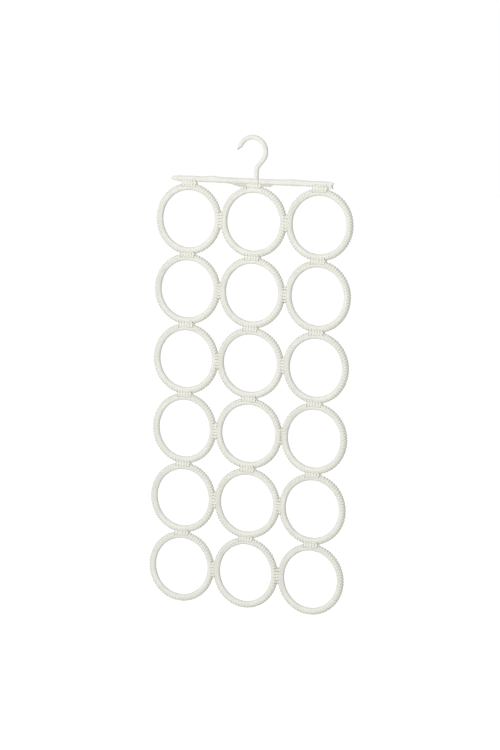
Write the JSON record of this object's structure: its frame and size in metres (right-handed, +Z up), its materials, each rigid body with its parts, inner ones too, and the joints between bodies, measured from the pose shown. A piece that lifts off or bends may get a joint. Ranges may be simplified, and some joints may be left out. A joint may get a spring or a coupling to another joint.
{
  "type": "scarf hanger",
  "caption": "Hanging organiser: a padded hook and cross bar carry a folding curtain of fabric-covered rings, in rows and columns, for scarves, ties and belts.",
  "frame": {"origin": "inside top of the hook, where it rests on a rod, in the middle plane of the bar", "axes": "+Z up, +X to the right along the cross bar, front faces -Y"},
  "size_m": [0.3459, 0.0108, 0.7735],
  "materials": {
    "sleeve_fabric": "off-white polyester cloth, matte",
    "seam_thread": "off-white polyester overlock thread",
    "steel_wire": "drawn wire",
    "ring_plastic": "moulded polypropylene"
  },
  "bodies": {
    "hanger": {"hook_wire": "steel_wire", "hook_sleeve": "sleeve_fabric", "bar_wire": "steel_wire", "bar_sleeve_left": "sleeve_fabric", "bar_sleeve_right": "sleeve_fabric"},
    "row_ties_1": {"hinge_ties_1": "seam_thread"},
    "ring_row_1": {"ring_core_1_1": "ring_plastic", "ring_core_1_2": "ring_plastic", "ring_core_1_3": "ring_plastic", "ring_sleeve_1_1": "sleeve_fabric", "ring_sleeve_1_2": "sleeve_fabric", "ring_sleeve_1_3": "sleeve_fabric", "overlock_stitching_1": "seam_thread", "side_ties_1": "seam_thread"},
    "row_ties_2": {"hinge_ties_2": "seam_thread"},
    "ring_row_2": {"ring_core_2_1": "ring_plastic", "ring_core_2_2": "ring_plastic", "ring_core_2_3": "ring_plastic", "ring_sleeve_2_1": "sleeve_fabric", "ring_sleeve_2_2": "sleeve_fabric", "ring_sleeve_2_3": "sleeve_fabric", "overlock_stitching_2": "seam_thread", "side_ties_2": "seam_thread"},
    "row_ties_3": {"hinge_ties_3": "seam_thread"},
    "ring_row_3": {"ring_core_3_1": "ring_plastic", "ring_core_3_2": "ring_plastic", "ring_core_3_3": "ring_plastic", "ring_sleeve_3_1": "sleeve_fabric", "ring_sleeve_3_2": "sleeve_fabric", "ring_sleeve_3_3": "sleeve_fabric", "overlock_stitching_3": "seam_thread", "side_ties_3": "seam_thread"},
    "row_ties_4": {"hinge_ties_4": "seam_thread"},
    "ring_row_4": {"ring_core_4_1": "ring_plastic", "ring_core_4_2": "ring_plastic", "ring_core_4_3": "ring_plastic", "ring_sleeve_4_1": "sleeve_fabric", "ring_sleeve_4_2": "sleeve_fabric", "ring_sleeve_4_3": "sleeve_fabric", "overlock_stitching_4": "seam_thread", "side_ties_4": "seam_thread"},
    "row_ties_5": {"hinge_ties_5": "seam_thread"},
    "ring_row_5": {"ring_core_5_1": "ring_plastic", "ring_core_5_2": "ring_plastic", "ring_core_5_3": "ring_plastic", "ring_sleeve_5_1": "sleeve_fabric", "ring_sleeve_5_2": "sleeve_fabric", "ring_sleeve_5_3": "sleeve_fabric", "overlock_stitching_5": "seam_thread", "side_ties_5": "seam_thread"},
    "row_ties_6": {"hinge_ties_6": "seam_thread"},
    "ring_row_6": {"ring_core_6_1": "ring_plastic", "ring_core_6_2": "ring_plastic", "ring_core_6_3": "ring_plastic", "ring_sleeve_6_1": "sleeve_fabric", "ring_sleeve_6_2": "sleeve_fabric", "ring_sleeve_6_3": "sleeve_fabric", "overlock_stitching_6": "seam_thread", "side_ties_6": "seam_thread"}
  },
  "joints": [
    {"name": "row_1_fold", "type": "hinge", "parent": "hanger", "child": "row_ties_1", "pos_m": [0.002, 0, -0.068], "axis": [-1, 0, 0], "range_deg": [-55, 55]},
    {"name": "row_1_roll", "type": "hinge", "parent": "row_ties_1", "child": "ring_row_1", "pos_m": [0.002, 0, -0.0818], "axis": [-1, 0, 0], "range_deg": [-83, 83]},
    {"name": "row_2_fold", "type": "hinge", "parent": "ring_row_1", "child": "row_ties_2", "pos_m": [0.002, 0, -0.1848], "axis": [1, 0, 0], "range_deg": [-85, 85]},
    {"name": "row_2_roll", "type": "hinge", "parent": "row_ties_2", "child": "ring_row_2", "pos_m": [0.002, 0, -0.1968], "axis": [1, 0, 0], "range_deg": [-85, 85]},
    {"name": "row_3_fold", "type": "hinge", "parent": "ring_row_2", "child": "row_ties_3", "pos_m": [0.002, 0, -0.2998], "axis": [-1, 0, 0], "range_deg": [-85, 85]},
    {"name": "row_3_roll", "type": "hinge", "parent": "row_ties_3", "child": "ring_row_3", "pos_m": [0.002, 0, -0.3118], "axis": [-1, 0, 0], "range_deg": [-85, 85]},
    {"name": "row_4_fold", "type": "hinge", "parent": "ring_row_3", "child": "row_ties_4", "pos_m": [0.002, 0, -0.4148], "axis": [1, 0, 0], "range_deg": [-85, 85]},
    {"name": "row_4_roll", "type": "hinge", "parent": "row_ties_4", "child": "ring_row_4", "pos_m": [0.002, 0, -0.4268], "axis": [1, 0, 0], "range_deg": [-85, 85]},
    {"name": "row_5_fold", "type": "hinge", "parent": "ring_row_4", "child": "row_ties_5", "pos_m": [0.002, 0, -0.5298], "axis": [-1, 0, 0], "range_deg": [-85, 85]},
    {"name": "row_5_roll", "type": "hinge", "parent": "row_ties_5", "child": "ring_row_5", "pos_m": [0.002, 0, -0.5418], "axis": [-1, 0, 0], "range_deg": [-85, 85]},
    {"name": "row_6_fold", "type": "hinge", "parent": "ring_row_5", "child": "row_ties_6", "pos_m": [0.002, 0, -0.6448], "axis": [1, 0, 0], "range_deg": [-85, 85]},
    {"name": "row_6_roll", "type": "hinge", "parent": "row_ties_6", "child": "ring_row_6", "pos_m": [0.002, 0, -0.6568], "axis": [1, 0, 0], "range_deg": [-85, 85]}
  ],
  "couplings": [
    {"joint": "row_1_roll", "follows": "row_1_fold", "ratio": 1.5},
    {"joint": "row_2_roll", "follows": "row_2_fold", "ratio": 1},
    {"joint": "row_3_roll", "follows": "row_3_fold", "ratio": 1},
    {"joint": "row_4_roll", "follows": "row_4_fold", "ratio": 1},
    {"joint": "row_5_roll", "follows": "row_5_fold", "ratio": 1},
    {"joint": "row_6_roll", "follows": "row_6_fold", "ratio": 1}
  ]
}
